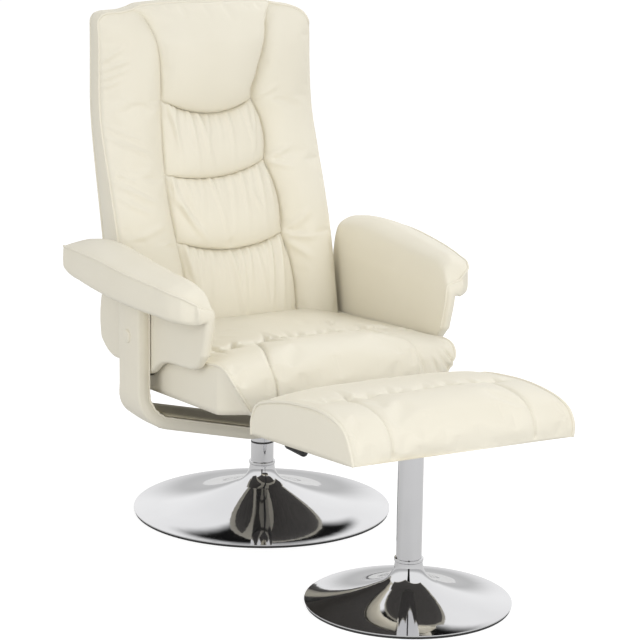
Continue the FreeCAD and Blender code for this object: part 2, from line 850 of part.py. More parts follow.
nodes = {}
nodes.update(pedestal("chair", chair_base_r, chair_neck_z, chair_column_top, 0, 0))
nodes.update(pedestal("stool", stool_base_r, stool_neck_z, stool_column_top, stool_x, stool_y))
nodes["cradle_strap"] = strap_holes(strap())
nodes["cradle_cover"] = cradle_cover()
nodes["top_plate"] = top_plate()
nodes["plate_bolts"] = plate_bolts()
nodes["tension_rod"] = tension_rod()
nodes["tension_knob"] = tension_knob()
pairs = {"pivot_bush": pivot_bush(), "pivot_bolt": pivot_bolt(), "pivot_spacer": pivot_spacer(),
         "arm_pad": arm_pad(), "arm_core": arm_core(), "arm_bolts": arm_bolts(), "arm_cap": arm_cap(),
         "back_bracket": back_bracket(), "back_bolster": bolster()}
for name, shape in pairs.items():
    nodes[name + "_left"] = shape
    nodes[name + "_right"] = mirrored(shape)
nodes["seat_frame"] = seat_frame()
nodes["seat_webbing"] = seat_webbing()
nodes["seat_liner"] = seat_liner()
nodes["seat_cushion"] = seat_cushion()
nodes["back_board"] = back_board()
nodes["back_pad"] = back_pad()
nodes["head_pillow"] = head_pillow()
nodes["back_panel_low"] = back_panel(seam_z[0], seam_z[1], panel_crown)
nodes["back_panel_mid"] = back_panel(seam_z[1], seam_z[2], panel_crown)
nodes["back_panel_top"] = back_panel(seam_z[2], seam_z[3], panel_crown)
nodes["stool_plate"] = stool_top_plate()
nodes["stool_screws"] = stool_screws()
nodes["stool_board"] = stool_board()
nodes["stool_cushion"] = stool_cushion()

os.makedirs("parts", exist_ok=True)
for name, shape in nodes.items():
    shape.exportStep("parts/" + name + ".step")
    print(name, shape.isValid(), len(shape.Solids), round(shape.Volume / 1000))
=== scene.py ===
import json
import math
import bpy
import numpy as np
from mathutils import Matrix


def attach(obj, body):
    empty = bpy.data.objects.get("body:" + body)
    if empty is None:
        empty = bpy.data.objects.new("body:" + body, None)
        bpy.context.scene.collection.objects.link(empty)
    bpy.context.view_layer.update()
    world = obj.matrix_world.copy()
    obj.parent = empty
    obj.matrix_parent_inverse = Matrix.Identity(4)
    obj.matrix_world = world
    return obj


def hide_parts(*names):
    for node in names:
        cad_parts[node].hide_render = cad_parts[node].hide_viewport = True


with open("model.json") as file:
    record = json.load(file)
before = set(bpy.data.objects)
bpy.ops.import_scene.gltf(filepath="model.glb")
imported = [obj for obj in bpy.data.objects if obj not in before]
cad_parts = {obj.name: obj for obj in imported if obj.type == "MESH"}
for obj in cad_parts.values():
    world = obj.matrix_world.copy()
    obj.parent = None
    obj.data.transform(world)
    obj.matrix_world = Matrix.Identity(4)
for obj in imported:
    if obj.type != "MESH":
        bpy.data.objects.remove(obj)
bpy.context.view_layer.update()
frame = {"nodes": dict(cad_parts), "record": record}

MM = 0.001  # shapes below are written in millimetres, in the row frame
scene = bpy.context.scene
piping_r = 2.6
piping_sides = 10


# curves and grids
def curve(points, steps):
    """Smooth curve through the points, with the same number of steps between each two."""
    p = np.asarray(points, float)
    p = np.vstack([2 * p[0] - p[1], p, 2 * p[-1] - p[-2]])
    t = np.linspace(0, 1, steps, endpoint=False)[:, None]
    parts = []
    for a, b, c, d in zip(p[:-3], p[1:-2], p[2:-1], p[3:]):
        parts.append(0.5 * (2 * b + (c - a) * t + (2 * a - 5 * b + 4 * c - d) * t ** 2
                            + (3 * b - a - 3 * c + d) * t ** 3))
    return np.vstack(parts + [p[-2:-1]])


def even(points, count):
    """The same path with its points evenly spaced."""
    run = np.concatenate([[0], np.cumsum(np.linalg.norm(np.diff(points, axis=0), axis=1))])
    at = np.linspace(0, run[-1], count)
    return np.stack([np.interp(at, run, points[:, k]) for k in range(points.shape[1])], -1)


def rounded(path, times):
    """The same path with its corners eased."""
    for _ in range(times):
        path = np.vstack([path[:1], (path[:-2] + 2 * path[1:-1] + path[2:]) / 4, path[-1:]])
    return path


def smooth(x, xs, ys):
    """Value at x of a smooth curve through the pairs of xs and ys."""
    xs = np.asarray(xs, float)
    ys = np.asarray(ys, float)
    slope = np.gradient(ys, xs)
    i = np.clip(np.searchsorted(xs, x) - 1, 0, len(xs) - 2)
    h = xs[i + 1] - xs[i]
    t = np.clip((x - xs[i]) / h, 0, 1)
    return ((1 + 2 * t) * (1 - t) ** 2 * ys[i] + t * (1 - t) ** 2 * h * slope[i]
            + t * t * (3 - 2 * t) * ys[i + 1] + t * t * (t - 1) * h * slope[i + 1])


def step(x, low, high):
    """From 0 at low to 1 at high, level at both."""
    t = np.clip((x - low) / (high - low), 0, 1)
    return t * t * (3 - 2 * t)


def packed(count, share=0.7):
    """From 0 to 1, closer together at both ends."""
    t = np.linspace(0, 1, count)
    return share * (1 - np.cos(np.pi * t)) / 2 + (1 - share) * t


def lift(grid, height):
    """Grid points moved along the grid's own normals."""
    n = np.cross(np.gradient(grid, axis=1), np.gradient(grid, axis=0))
    n /= np.maximum(np.linalg.norm(n, axis=-1, keepdims=True), 1e-9)
    return grid + n * height[..., None]


def folds(x, y, strokes):
    """Creases in leather: each stroke runs between two points and dies away at its ends."""
    h = np.zeros_like(x)
    for x0, y0, x1, y1, wide, high in strokes:
        long = math.hypot(x1 - x0, y1 - y0)
        t = ((x - x0) * (x1 - x0) + (y - y0) * (y1 - y0)) / long ** 2
        d = ((x - x0) * (y1 - y0) - (y - y0) * (x1 - x0)) / long
        fade = step(np.minimum(t + 0.2, 1.2 - t), 0, 0.5)
        h += high * fade * (np.exp(-(d / wide) ** 2) - 0.5 * np.exp(-(d / (2 * wide)) ** 2))
    return h


def gathers(s, d, pitch, reach, high, seed):
    """Pleats that start at a seam and run out from it: s is the way along the seam, d the way out."""
    rng = np.random.RandomState(seed)
    h = np.zeros_like(s)
    at = s.min()
    while at < s.max():
        wide = pitch * rng.uniform(0.22, 0.4)
        out = reach * rng.uniform(0.35, 1.0)
        lean = rng.uniform(-0.2, 0.2)
        tall = high * rng.uniform(0.35, 1.0)
        fade = np.exp(-(d / out) ** 1.6) * (1 - np.exp(-d / 3))
        h += tall * np.exp(-((s - at - lean * d) / wide) ** 2) * fade
        at += pitch * rng.uniform(0.6, 1.5)
    return h


def pleats(s, d, pitch, reach, deep, seed):
    """Narrow tucks that cross a gathered seam: s is the way along the seam, d the way out from it."""
    rng = np.random.RandomState(seed)
    h = np.zeros_like(s)
    at = s.min()
    while at < s.max():
        wide = pitch * rng.uniform(0.09, 0.17)
        out = reach * rng.uniform(0.35, 1.0)
        lean = rng.uniform(-0.05, 0.45)
        tall = deep * rng.uniform(0.3, 1.0)
        off = s - at - lean * d
        fade = np.exp(-(d / out) ** 2)
        h -= tall * np.exp(-np.abs(off) / wide) * fade
        h += 0.6 * tall * np.exp(-((off - 3 * wide) / (2 * wide)) ** 2) * fade
        at += pitch * rng.uniform(0.5, 1.6)
    return h


def quads(rows, cols, start=0, closed=False):
    """Faces of a grid whose points begin at start; a closed grid joins its last column to its first."""
    faces = []
    for i in range(rows - 1):
        for j in range(cols if closed else cols - 1):
            k = (j + 1) % cols
            a = start + i * cols
            b = a + cols
            faces.append((a + j, a + k, b + k, b + j))
    return faces


def capped(rings, sides):
    """Faces of a row of rings, closed at both ends."""
    last = (rings - 1) * sides
    return quads(rings, sides, 0, True) + [tuple(range(sides)), tuple(range(last, last + sides))]


def placed(name, data):
    """New object in the scene."""
    made = bpy.data.objects.new(name, data)
    scene.collection.objects.link(made)
    return made


def piece(name, points, faces, finish, body):
    """Smooth mesh in the scene that moves with a body and takes the given finish."""
    mesh = bpy.data.meshes.new(name)
    mesh.from_pydata((np.asarray(points) * MM).tolist(), [], faces)
    mesh.validate()
    mesh.polygons.foreach_set("use_smooth", [True] * len(mesh.polygons))
    mesh.materials.append(finish)
    made = placed(name, mesh)
    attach(made, body)
    return made


def welded(made, gap=0.05):
    """Joins grids that share their edges into one closed skin, with its faces outward."""
    weld = made.modifiers.new("weld", "WELD")
    weld.merge_threshold = gap * MM
    applied(made)
    bpy.ops.object.select_all(action="DESELECT")
    bpy.context.view_layer.objects.active = made
    made.select_set(True)
    bpy.ops.object.mode_set(mode="EDIT")
    bpy.ops.mesh.select_all(action="SELECT")
    bpy.ops.mesh.normals_make_consistent(inside=False)
    bpy.ops.object.mode_set(mode="OBJECT")
    return made


def applied(made):
    """Puts the piece's modifiers into its mesh."""
    graph = bpy.context.evaluated_depsgraph_get()
    mesh = bpy.data.meshes.new_from_object(made.evaluated_get(graph))
    made.modifiers.clear()
    made.data = mesh


def skin(name, grids, finish, body):
    """One closed piece from several grids whose edges meet."""
    points = []
    faces = []
    for grid in grids:
        rows, cols = grid.shape[:2]
        faces += quads(rows, cols, len(points))
        points += grid.reshape(-1, 3).tolist()
    return welded(piece(name, points, faces, finish, body))


def piping(name, path, radius, body):
    """Leather-covered cord along a path."""
    along = np.gradient(path, axis=0)
    along /= np.linalg.norm(along, axis=1, keepdims=True)
    side = np.cross(along[0], (0, 0, 1) if abs(along[0][2]) < 0.9 else (1, 0, 0))
    turn = np.linspace(0, 2 * np.pi, piping_sides, endpoint=False)[:, None]
    rings = []
    for p, a in zip(path, along):
        side = side - a * np.dot(side, a)
        side /= np.linalg.norm(side)
        other = np.cross(a, side)
        rings.append(p + radius * (np.cos(turn) * side + np.sin(turn) * other))
    return piece(name, np.vstack(rings), capped(len(rings), piping_sides), leather, body)


# cloth
cloth_frames = 20
cloth_quality = 6
cloth_mass = 0.4
cloth_stretch = 40
cloth_bend = 8.0
cloth_pressure = 4.0
cloth_slack = 0.05  # share by which the leather is cut larger along a gathered seam
cloth_ease = 0.004  # and elsewhere


def spread(grid, row_step, col_step):
    """A coarse grid refined by smooth curves, row_step by col_step times."""
    rows = np.stack([curve(grid[:, j], row_step) for j in range(grid.shape[1])], 1)
    return np.stack([curve(rows[i], col_step) for i in range(rows.shape[0])], 0)


def simulated(grid, held, loose, row_step, col_step, cap, flip):
    """A sewn sheet blown up by cloth simulation.

    It is held at its seams, cut larger where it is loose, and moves by at most cap."""
    coarse = grid[::row_step, ::col_step]
    rows, cols = coarse.shape[:2]
    faces = quads(rows, cols)
    if flip:
        faces = [tuple(reversed(face)) for face in faces]
    mesh = bpy.data.meshes.new("cloth")
    mesh.from_pydata((coarse.reshape(-1, 3) * MM).tolist(), [], faces)
    made = placed("cloth", mesh)
    for name, weights in (("held", held), ("loose", loose)):
        group = made.vertex_groups.new(name=name)
        weights = weights[::row_step, ::col_step].reshape(-1)
        for i in np.nonzero(weights > 0)[0]:
            group.add([int(i)], float(weights[i]), "REPLACE")
    cloth = made.modifiers.new("cloth", "CLOTH")
    cloth.settings.quality = cloth_quality
    cloth.settings.mass = cloth_mass
    cloth.settings.tension_stiffness = cloth_stretch
    cloth.settings.compression_stiffness = cloth_stretch
    cloth.settings.bending_stiffness = cloth_bend
    cloth.settings.use_pressure = True
    cloth.settings.uniform_pressure_force = cloth_pressure
    cloth.settings.vertex_group_shrink = "loose"
    cloth.settings.shrink_min = -cloth_ease
    cloth.settings.shrink_max = -cloth_slack
    cloth.settings.effector_weights.gravity = 0
    cloth.settings.vertex_group_mass = "held"
    cloth.collision_settings.use_collision = False
    cloth.point_cache.frame_end = cloth_frames
    for at in range(1, cloth_frames + 1):
        scene.frame_set(at)
    graph = bpy.context.evaluated_depsgraph_get()
    result = made.evaluated_get(graph).data
    moved = np.empty(rows * cols * 3)
    result.vertices.foreach_get("co", moved)
    scene.frame_set(1)
    bpy.data.objects.remove(made)
    way = moved.reshape(rows, cols, 3) / MM - coarse
    far = np.linalg.norm(way, axis=-1, keepdims=True)
    way *= np.tanh(far / cap) * cap / np.maximum(far, 1e-6)
    return grid + spread(way, row_step, col_step)


# finishes
leather_pale = (0.797, 0.758, 0.645)
leather_dark = (0.782, 0.741, 0.625)
leather_rough = (0.38, 0.52)
leather_grain = 700.0
leather_shine = 0.28
leather_coat = 0.03
leather_bump = (0.12, 0.0004)  # strength, depth
plain_depth = 0.0006
chrome_pale = (0.66, 0.66, 0.67)
chrome_dark = (0.60, 0.60, 0.61)
chrome_rough = (0.03, 0.06)
wood_pale = (0.66, 0.50, 0.32)
wood_dark = (0.48, 0.33, 0.19)
wood_rough = (0.55, 0.7)
smooth_below = math.radians(35)  # edges of the solids that are flatter than this are shaded smooth


def material(name, scale, dark, pale, rough, detail=4.0, fine=None, ends=(0.3, 0.7), stretch=None):
    """New material with uneven tone and roughness; gives its nodes, links, shader and the noise as well."""
    made = bpy.data.materials.new(name)
    made.use_nodes = True
    nodes, links = made.node_tree.nodes, made.node_tree.links
    shader = nodes["Principled BSDF"]
    value = noise(nodes, links, scale, detail, stretch)
    links.new(ramp(nodes, links, value, dark, pale, ends), shader.inputs["Base Color"])
    gloss = noise(nodes, links, fine) if fine else value
    links.new(between(nodes, links, gloss, *rough), shader.inputs["Roughness"])
    return made, nodes, links, shader, value


def noise(nodes, links, scale, detail=4.0, stretch=None):
    where = nodes.new("ShaderNodeTexCoord")
    made = nodes.new("ShaderNodeTexNoise")
    made.inputs["Scale"].default_value = scale
    made.inputs["Detail"].default_value = detail
    out = where.outputs["Object"]
    if stretch:
        shift = nodes.new("ShaderNodeMapping")
        shift.inputs["Scale"].default_value = stretch
        links.new(out, shift.inputs["Vector"])
        out = shift.outputs["Vector"]
    links.new(out, made.inputs["Vector"])
    return made.outputs["Fac"]


def ramp(nodes, links, value, dark, pale, ends):
    """Colour between dark and pale as the value runs between the ends."""
    made = nodes.new("ShaderNodeValToRGB")
    for point, at, colour in zip(made.color_ramp.elements, ends, (dark, pale)):
        point.position = at
        point.color = (*colour, 1)
    links.new(value, made.inputs["Fac"])
    return made.outputs["Color"]


def between(nodes, links, value, low, high, start=0.0, end=1.0, shape="LINEAR"):
    """From low to high as the value goes from start to end."""
    made = nodes.new("ShaderNodeMapRange")
    made.interpolation_type = shape
    for name, number in (("From Min", start), ("From Max", end), ("To Min", low), ("To Max", high)):
        made.inputs[name].default_value = number
    links.new(value, made.inputs["Value"])
    return made.outputs["Result"]


def bumped(nodes, links, shader, value, strength, depth):
    made = nodes.new("ShaderNodeBump")
    made.inputs["Strength"].default_value = strength
    made.inputs["Distance"].default_value = depth
    links.new(value, made.inputs["Height"])
    links.new(made.outputs["Normal"], shader.inputs["Normal"])


def leather_finish():
    made, nodes, links, shader, _ = material("cream leather", 9.0, leather_dark, leather_pale, leather_rough,
                                             detail=3.0, fine=60.0)
    grain = nodes.new("ShaderNodeTexVoronoi")
    where = nodes.new("ShaderNodeTexCoord")
    grain.inputs["Scale"].default_value = leather_grain
    links.new(where.outputs["Object"], grain.inputs["Vector"])
    bumped(nodes, links, shader, grain.outputs["Distance"], *leather_bump)
    shader.inputs["Specular IOR Level"].default_value = leather_shine
    shader.inputs["Coat Weight"].default_value = leather_coat
    return made


def chrome_finish():
    made, _, _, shader, _ = material("polished chrome", 6.0, chrome_dark, chrome_pale, chrome_rough,
                                     detail=2.0, fine=40.0)
    shader.inputs["Metallic"].default_value = 1.0
    return made


def plain_finish(name, dark, pale, rough, scale, bump=0.0):
    """Painted, moulded or woven surface with a little unevenness of tone, gloss and height."""
    made, nodes, links, shader, value = material(name, scale, dark, pale, (rough * 0.85, rough * 1.15))
    if bump:
        bumped(nodes, links, shader, value, bump, plain_depth)
    return made


def wood_finish():
    return material("birch plywood", 14.0, wood_dark, wood_pale, wood_rough,
                    detail=6.0, ends=(0.25, 0.75), stretch=(1.0, 1.0, 14.0))[0]


leather = leather_finish()
finishes = {
    "leather": leather,
    "chrome": chrome_finish(),
    "rubber": plain_finish("black rubber", (0.018, 0.018, 0.018), (0.03, 0.03, 0.03), 0.75, 90.0, bump=0.2),
    "steel": plain_finish("black painted steel", (0.02, 0.02, 0.021), (0.035, 0.035, 0.037), 0.42, 120.0,
                          bump=0.1),
    "bush": plain_finish("white nylon", (0.62, 0.61, 0.58), (0.7, 0.69, 0.66), 0.5, 80.0),
    "wood": wood_finish(),
    "webbing": plain_finish("woven webbing", (0.07, 0.065, 0.06), (0.16, 0.15, 0.14), 0.85, 400.0, bump=0.5),
    # olive sheet on the band under the seat, darker than the leather: painted shade
    "painted_shade_sheet": plain_finish("olive painted shade", (0.66, 0.60, 0.44), (0.74, 0.68, 0.52), 0.8, 300.0, bump=0.3),
    "black": plain_finish("black plastic", (0.012, 0.012, 0.012), (0.022, 0.022, 0.022), 0.35, 200.0,
                          bump=0.08),
}


def dress_frame():
    """Every solid that stays in view takes the finish of its material slot."""
    slots = {part["node"]: part["material_slot"] for part in frame["record"]["subparts"]}
    for name, node in frame["nodes"].items():
        node.data.materials.clear()
        node.data.materials.append(finishes[slots[name]])
        node.data.polygons.foreach_set("use_smooth", [True] * len(node.data.polygons))
        node.data.set_sharp_from_angle(angle=smooth_below)


# back
back_foot = (150.0, 330.0)  # y, z of the datum's foot
back_bend = (268.0, 818.0)
back_ease = 44.0  # height over which the bend is rounded
back_rear = 49.0  # rear face behind the datum
back_bottom = 352.0
back_wide = 251.0
back_narrow = 3.0  # less than that at the top, over the next two heights
narrow_rise = (700, 1000)
back_rear_share = 0.985  # width of the rear face, as a share of the front
back_swell = 4.0  # of the rear face and of the sides
seam_fill = 9.0  # foam under the long seams of the back
seam_lean = 5.0  # more of it on the photograph's left
fill_end = (960, 1010)  # it ends between these heights
box_x = (150, 250)  # where the box panel turns outward
box_z = (960, 1030)  # and upward


def datum(z):
    """Where the back's board lies at a height: it leans up to the bend and is upright above it."""
    slope = (back_bend[0] - back_foot[0]) / (back_bend[1] - back_foot[1])
    below = back_bend[1] - z
    return back_bend[0] - slope * (below + np.sqrt(below ** 2 + back_ease ** 2)) / 2


def left_seam(z):
    """Half width of the middle panels and the pillow on the photograph's left."""
    return smooth(z, (350, 480, 550, 620, 694, 763, 848, 900, 945, 975, 1000, 1020, 1036, 1045),
                  (100, 112, 121, 126, 127, 123, 120, 121, 126, 132, 141, 154, 171, 182))


def right_seam(z):
    return smooth(z, (350, 480, 550, 630, 707, 770, 835, 870, 900, 940, 990, 1020, 1045),
                  (153, 145, 132, 121, 111, 104, 97, 106, 114, 125, 139, 150, 162))


def back_top(x):
    """Height of the top edge: rounded bolsters with the pillow standing above them."""
    square = smooth(-x, (0, 120, 150, 170, 190, 215, 232, 242, 248, 251),
                    (1042, 1041, 1038, 1031, 1027, 1026, 1024, 1019, 1008, 990))
    round_off = smooth(x, (0, 120, 150, 175, 200, 220, 234, 243, 248, 251),
                       (1042, 1041, 1038, 1032, 1028, 1022, 1012, 998, 984, 966))
    return np.where(x < 0, square, round_off)


def edge_depth(z):
    """How far the bolsters' outer edges stand before the board."""
    return smooth(z, (352, 480, 560, 640, 720, 800, 900, 980, 1020, 1045),
                  (30, 34, 34, 27, 15, 4, 0, -2, -8, -14))


def seam_depth(z):
    """The same for the seams beside the panels."""
    return smooth(z, (352, 480, 560, 640, 720, 800, 900, 970, 1010, 1045),
                  (16, 19, 18, 15, 12, 10, 10, 7, -3, -14))


def bolster_swell(z):
    return smooth(z, (352, 480, 600, 720, 820, 900, 960, 1000, 1015, 1030),
                  (30, 38, 40, 38, 37, 35, 28, 16, 8, 0))


panel_rows = (50, 48, 48, 64)  # from the lowest panel to the pillow
panel_cols = 105
bolster_cols = 46
left_ends = (back_bottom, 552.0, 690.0, 843.0, 1034.0)  # seams where they meet the bolsters
right_ends = (back_bottom, 552.0, 707.0, 836.0, 1034.0)
mid_ends = (back_bottom, 529.0, 680.0, 811.0, 1034.0)  # and at the middle
panel_crowns = (30.0, 35.0, 34.0, 44.0)
panel_bulges = (4.0, 11.0, 11.0, 0.0)  # over the far seam, between the panel's ends
panel_lows = (0.42, 0.34, 0.34, 0.36)  # steepness above the lower seam
panel_highs = (0.5, 0.5, 0.5, 0.45)  # and below the upper one


def back_row(k, up, s, t, across, ends):
    """One line across the back: its points, and what the folds need to know about them."""
    low, high = panel_lows[k], panel_highs[k]
    peak = (low / (low + high)) ** low * (high / (low + high)) ** high
    level = mid_ends[k] + (mid_ends[k + 1] - mid_ends[k]) * up
    near = left_seam(level)
    far = right_seam(level) + panel_bulges[k] * math.sin(math.pi * up)
    wide = back_wide - back_narrow * step(level, *narrow_rise)
    x = np.concatenate([-wide + (wide - near) * s, -near + (near + far) * (t[1:-1] + 1) / 2,
                        far + (wide - far) * s])
    top = ends[k + 1] if k < 3 else back_top(x)
    z = ends[k] + (top - ends[k]) * up
    out = np.concatenate([1 - s, np.zeros(panel_cols - 2), s])
    shallow = (seam_fill - seam_lean * across) * (1 - step(z, *fill_end))
    valley = seam_depth(z) + shallow
    crown = (bolster_swell(z) - shallow) * (1 - np.abs(2 * out - 1) ** 3.0) ** 0.6
    bolster = valley + (edge_depth(z) - valley) * out + crown
    full = up ** low * (1 - up) ** high / peak
    panel = valley + panel_crowns[k] * full * (1 - np.abs(across) ** 4.0) ** (0.6 - 0.15 * across)
    h = np.where(np.abs(across) < 1, panel, bolster)
    below = (top - z) if k < 3 else np.full_like(z, 999.0)
    inside = (1 - step(np.abs(across), 0.88, 1.0)) * (np.abs(across) < 1)
    sewn = np.maximum(np.abs(np.abs(across) - 1) < 0.004, up < 0.012) * (out < 0.04)
    facts = np.stack([below, inside, np.full_like(x, k), sewn, out], -1)
    return np.stack([x, datum(z) - h, z], -1), facts


def back_sheet():
    """Front of the back as a grid whose lines follow the seams, with the facts of every point."""
    s = packed(bolster_cols)
    t = packed(panel_cols, 0.5) * 2 - 1
    across = np.concatenate([-np.ones(bolster_cols), t[1:-1], np.ones(bolster_cols)])
    ends = []
    for a, b, c in zip(left_ends, right_ends, mid_ends):
        side = a + (b - a) * (across + 1) / 2
        ends.append(side + (c - (a + b) / 2) * (1 - across ** 2))
    rows = []
    for k, count in enumerate(panel_rows):
        for up in packed(count)[min(k, 1):]:  # a panel's first row is the last of the one below
            rows.append(back_row(k, up, s, t, across, ends))
    return np.array([row[0] for row in rows]), np.array([row[1] for row in rows])


# pitch, reach, height, seed
panel_gathers = ((21.0, 150.0, 9.0, 3), (19.0, 85.0, 6.2, 8), (18.0, 85.0, 6.8, 5))
back_cap = 7.0  # most that the simulation moves it
back_pull = 1.5  # how strongly the pulls on the bolsters show
# across, up to across, up, width, height
back_strokes = (
    (-244, 930, -205, 956, 5, 3.6), (-246, 908, -196, 930, 5, 4.4), (-247, 890, -200, 912, 5, 4.0),
    (-246, 872, -215, 890, 5, 3.2), (-243, 772, -165, 735, 5, 4.6), (-242, 795, -180, 765, 5, 3.4),
    (-240, 680, -170, 640, 6, 4.4), (-238, 650, -185, 618, 6, 3.4), (-236, 700, -205, 684, 5, 3.0),
    (-235, 565, -150, 592, 8, 3.0),
    (134, 554, 190, 600, 9, 5.4), (136, 548, 195, 545, 8, 4.2), (138, 540, 188, 500, 8, 4.0),
    (114, 710, 165, 735, 7, 3.6), (114, 704, 170, 690, 7, 3.0), (100, 838, 150, 866, 7, 3.0),
    (-118, 650, -60, 560, 7, 4.4), (-118, 680, -90, 600, 6, 3.6), (-105, 630, -75, 570, 6, 3.0),
    (-105, 480, -85, 400, 7, 3.0), (60, 650, 85, 600, 7, 3.0),
)


def back_folds(grid, facts):
    """Gathers under the three seams and the slanted pulls on the bolsters."""
    below, inside, row, sewn, out = np.moveaxis(facts, -1, 0)
    held = np.maximum(held_edges(row), sewn)
    loose = np.exp(-below / 60.0) * inside + (out > 0.3) * step(out, 0.5, 0.9) * 0.8
    grid = simulated(grid, held, loose, 2, 2, back_cap, False)
    h = back_pull * folds(grid[..., 0], grid[..., 2], back_strokes)
    for k, (pitch, reach, high, seed) in enumerate(panel_gathers):
        h += gathers(grid[..., 0], below, pitch, reach, high, seed) * inside * (row == k)
    return lift(grid, h)


def make_back():
    flat, facts = back_sheet()
    sheet = back_folds(flat, facts)
    rear = flat.copy()
    rear[..., 0] *= back_rear_share
    rear[..., 1] = datum(flat[..., 2]) + back_rear + back_swell * (1 - np.abs(flat[..., 0] / back_wide) ** 4)
    front_edge = np.concatenate([sheet[:, 0], sheet[-1, 1:-1], sheet[::-1, -1]])
    rear_edge = np.concatenate([rear[:, 0], rear[-1, 1:-1], rear[::-1, -1]])
    box = []
    for share in np.linspace(0, 1, 9):
        p = front_edge + (rear_edge - front_edge) * share
        x, z = p[:, 0], p[:, 2]
        out = np.stack([np.sign(x) * step(np.abs(x), *box_x), 0 * x, step(z, *box_z)], -1)
        box.append(p + out * back_swell * (1 - (2 * share - 1) ** 2))
    foot = np.array([sheet[0] + (rear[0] - sheet[0]) * share for share in (0, 0.5, 1)])
    made = skin("back_upholstery", [sheet, rear, np.array(box), foot], leather, "seat")
    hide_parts("back_bolster_left", "back_bolster_right", "back_panel_low", "back_panel_mid",
                "back_panel_top", "head_pillow", "back_pad")
    for name, edge in (("back_front_piping", front_edge), ("back_rear_piping", rear_edge)):
        piping(name, even(edge, 420), piping_r, "seat")


# cushions of the seat and the stool: rows of left edge, middle and right edge, from rear to front
def cushion_sheet(left, middle, right, steps, cols, power):
    """Top and front of a cushion as one grid."""
    left = curve(left, steps)
    middle = curve(middle, steps)
    right = curve(right, steps)
    u = packed(cols, 0.6) * 2 - 1
    keep = np.abs(u)[None, :, None] ** power
    side = np.where(u[None, :, None] < 0, left[:, None, :], right[:, None, :])
    grid = side * keep + middle[:, None, :] * (1 - keep)
    centre = middle[:, None, 0]
    half = np.where(u[None, :] < 0, left[:, None, 0] - centre, right[:, None, 0] - centre)
    grid[..., 0] = centre + half * np.abs(u)[None, :]
    return grid


def held_edges(x):
    """Where a cushion's sheet is sewn down: all round its edge."""
    held = np.zeros_like(x)
    held[:3] = 1
    held[-3:] = 1
    held[:, :5] = 1
    held[:, -5:] = 1
    return held


def cushion_skin(name, sheet, left_low, right_low, body):
    """Closes a cushion below its sheet with side panels and a flat bottom."""
    shares = np.linspace(0, 1, 9)[:, None, None]
    sides = []
    for edge, low, out in ((sheet[:, 0], left_low, -1), (sheet[:, -1], right_low, 1)):
        wall = edge[None] + (low - edge)[None] * shares
        wall[..., 0] += out * side_swell * (1 - (2 * shares[..., 0] - 1) ** 2)
        sides.append(wall)
    across = (sheet[-1, :, 0] - sheet[-1, 0, 0]) / (sheet[-1, -1, 0] - sheet[-1, 0, 0])
    bottom = left_low[:, None] + (right_low - left_low)[:, None] * across[None, :, None]
    rear = sheet[0][None] + (bottom[0] - sheet[0])[None] * shares
    front = sheet[-1][None] + (bottom[-1] - sheet[-1])[None] * shares
    return skin(name, [sheet, sides[0], sides[1], bottom, rear, front], leather, body)


def dust_cover(name, lows, body, sag):
    """Black cloth that closes a cushion's underside and hangs a little below its edge."""
    share = np.linspace(0, 1, 24)
    edges = []
    for low in lows:
        low = even(low[np.argsort(-low[:, 1])], 200)
        at = cover_in + (1 - 2 * cover_in) * share
        edges.append(np.stack([np.interp(at, np.linspace(0, 1, len(low)), low[:, k]) for k in range(3)], -1))
    left, right = edges
    across = np.array((cover_in, 0.1, 0.5, 0.9, 1 - cover_in))[None, :, None]
    sheet = left[:, None] * (1 - across) + right[:, None] * across
    inner = step(np.minimum(share, 1 - share), 0, 0.08)[:, None] * (0, 1, 1, 1, 0)
    sheet[..., 2] += cover_t - sag * inner
    under = sheet - (0, 0, cover_t)
    skin(name, [sheet, under, np.array([border(sheet), border(under)])], finishes["webbing"], body)


def border(grid):
    """The grid's outermost points, once round."""
    return np.concatenate([grid[:, 0], grid[-1, 1:], grid[-2::-1, -1], grid[0, -2::-1]])


def sewn_sheet(sheet, row, seam, plan, slack):
    """Blows up a cushion's sheet, and gives how far its seams and gathers then raise it."""
    x = sheet[..., 0]
    fold = plan["fold"]
    off = np.abs(np.abs(x) - seam)
    front = step(row, fold - plan["start"], fold + 0.6)
    held = np.maximum(held_edges(x), 0.9 * (off < 4.5) * (row > fold))
    held = np.maximum(held, 0.6 * (np.abs(row - fold) < 0.07) * (np.abs(x) < plan["held"]))
    loose = np.exp(-((row - fold + 0.2) / 0.7) ** 2) * (1 - step(np.abs(x), *plan["loose"]))
    sheet = simulated(sheet, held, np.maximum(loose, slack), 2, 4, plan["cap"], True)
    x = sheet[..., 0]
    last = plan["last"]
    deep = plan["groove"] * np.where(x < 0, 1.0, plan["far_groove"])
    h = -deep * np.exp(-off / plan["groove_w"]) * front * (1 - step(row, last - 0.4, last))
    h += front * seam_swell * (1 - step(np.abs(x) / seam, 0.5, 1.0)) * (1 - step(row, last - 1.5, last))
    inner = 1 - step(np.abs(x), *plan["gathered"])
    away = np.abs(row - fold) * plan["row"]
    h += -plan["fold_deep"] * np.exp(-away / 6.0) * inner
    h += pleats(x, away, *plan["pleats"]) * inner
    return sheet, h


